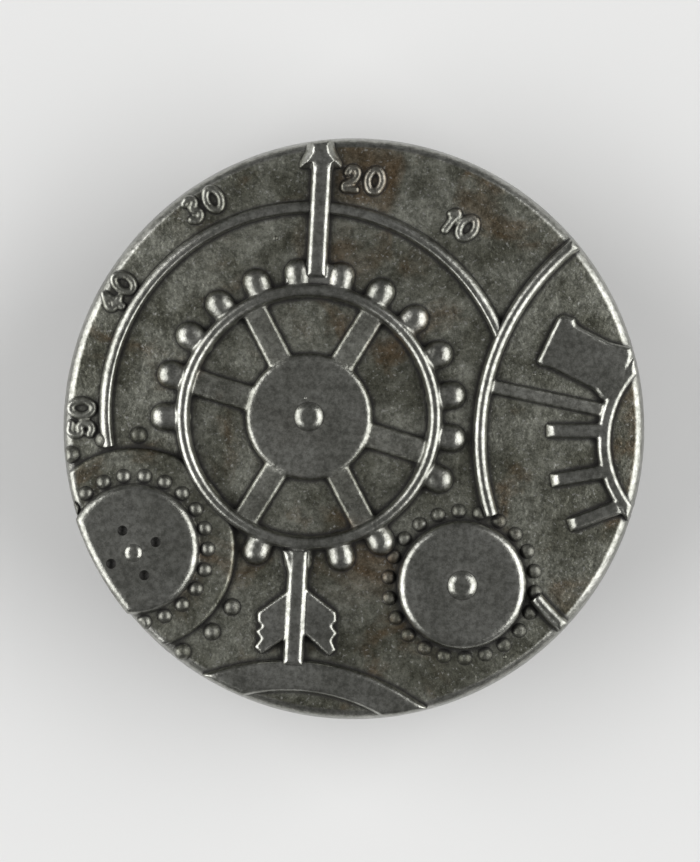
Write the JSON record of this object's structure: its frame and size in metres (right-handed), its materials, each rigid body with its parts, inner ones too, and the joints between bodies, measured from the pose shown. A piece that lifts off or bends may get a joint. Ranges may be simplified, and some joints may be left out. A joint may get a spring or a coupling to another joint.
{
  "type": "shank button",
  "caption": "Round cast metal coat button with a raised clockwork picture of gears, dial figures and an arrow, and a wire sewing loop on its hollow back.",
  "frame": {"origin": "the lowest point of the wire sewing loop, on the button's centre line", "axes": "+Z out of the face, +Y towards the tip of the arrow, +X to the right when the face is looked at"},
  "size_m": [0.028, 0.028, 0.0073],
  "materials": {
    "cast_face": "zinc alloy die casting, antique silver plate, darkened in the recesses and rubbed bright on the edges",
    "shank_loop": "drawn steel wire with the same antique plate, a little darkened"
  },
  "bodies": {
    "root": {"cast_face": "cast_face", "shank_loop": "shank_loop"}
  },
  "joints": []
}
